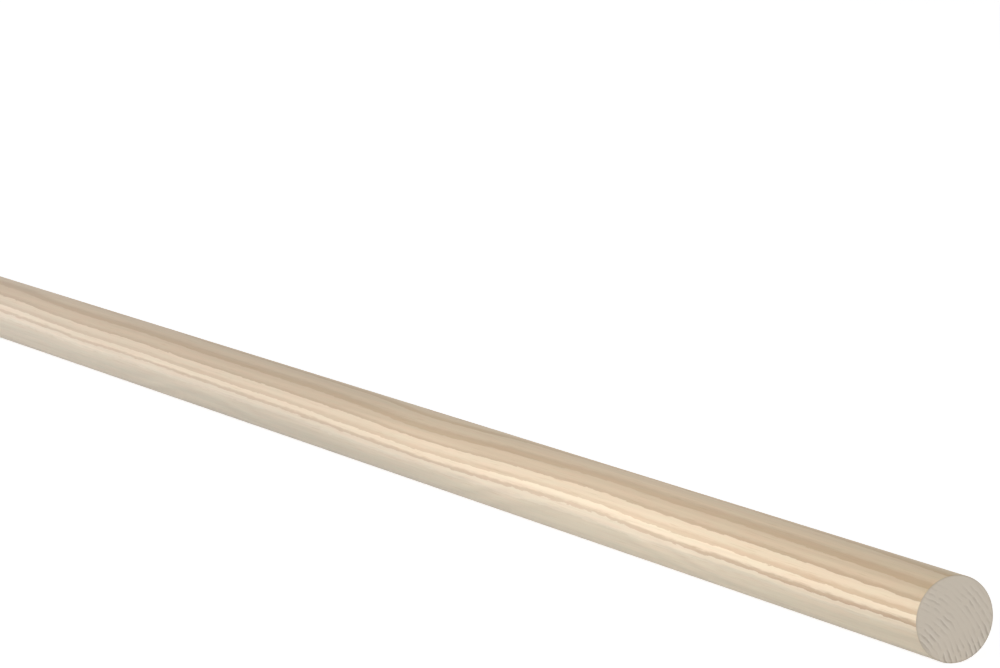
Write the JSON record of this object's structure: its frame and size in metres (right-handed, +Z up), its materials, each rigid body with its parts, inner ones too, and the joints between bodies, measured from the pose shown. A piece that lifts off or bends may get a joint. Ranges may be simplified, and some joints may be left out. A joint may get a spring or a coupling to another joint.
{
  "type": "wooden dowel rod",
  "caption": "Plain round pine dowel rod, planed smooth along the grain and sawn square at both ends, for pegs, rails, axles and craft work.",
  "frame": {"origin": "middle of the rod, on its axis, halfway between the two sawn ends", "axes": "+X along the rod and its grain, towards the near sawn end; +Z up; the rod is round, so Y and Z are alike"},
  "size_m": [1, 0.025, 0.025],
  "materials": {
    "pine": "bare planed wood, lightly sanded"
  },
  "bodies": {
    "root": {"dowel_rod": "pine"}
  },
  "joints": []
}
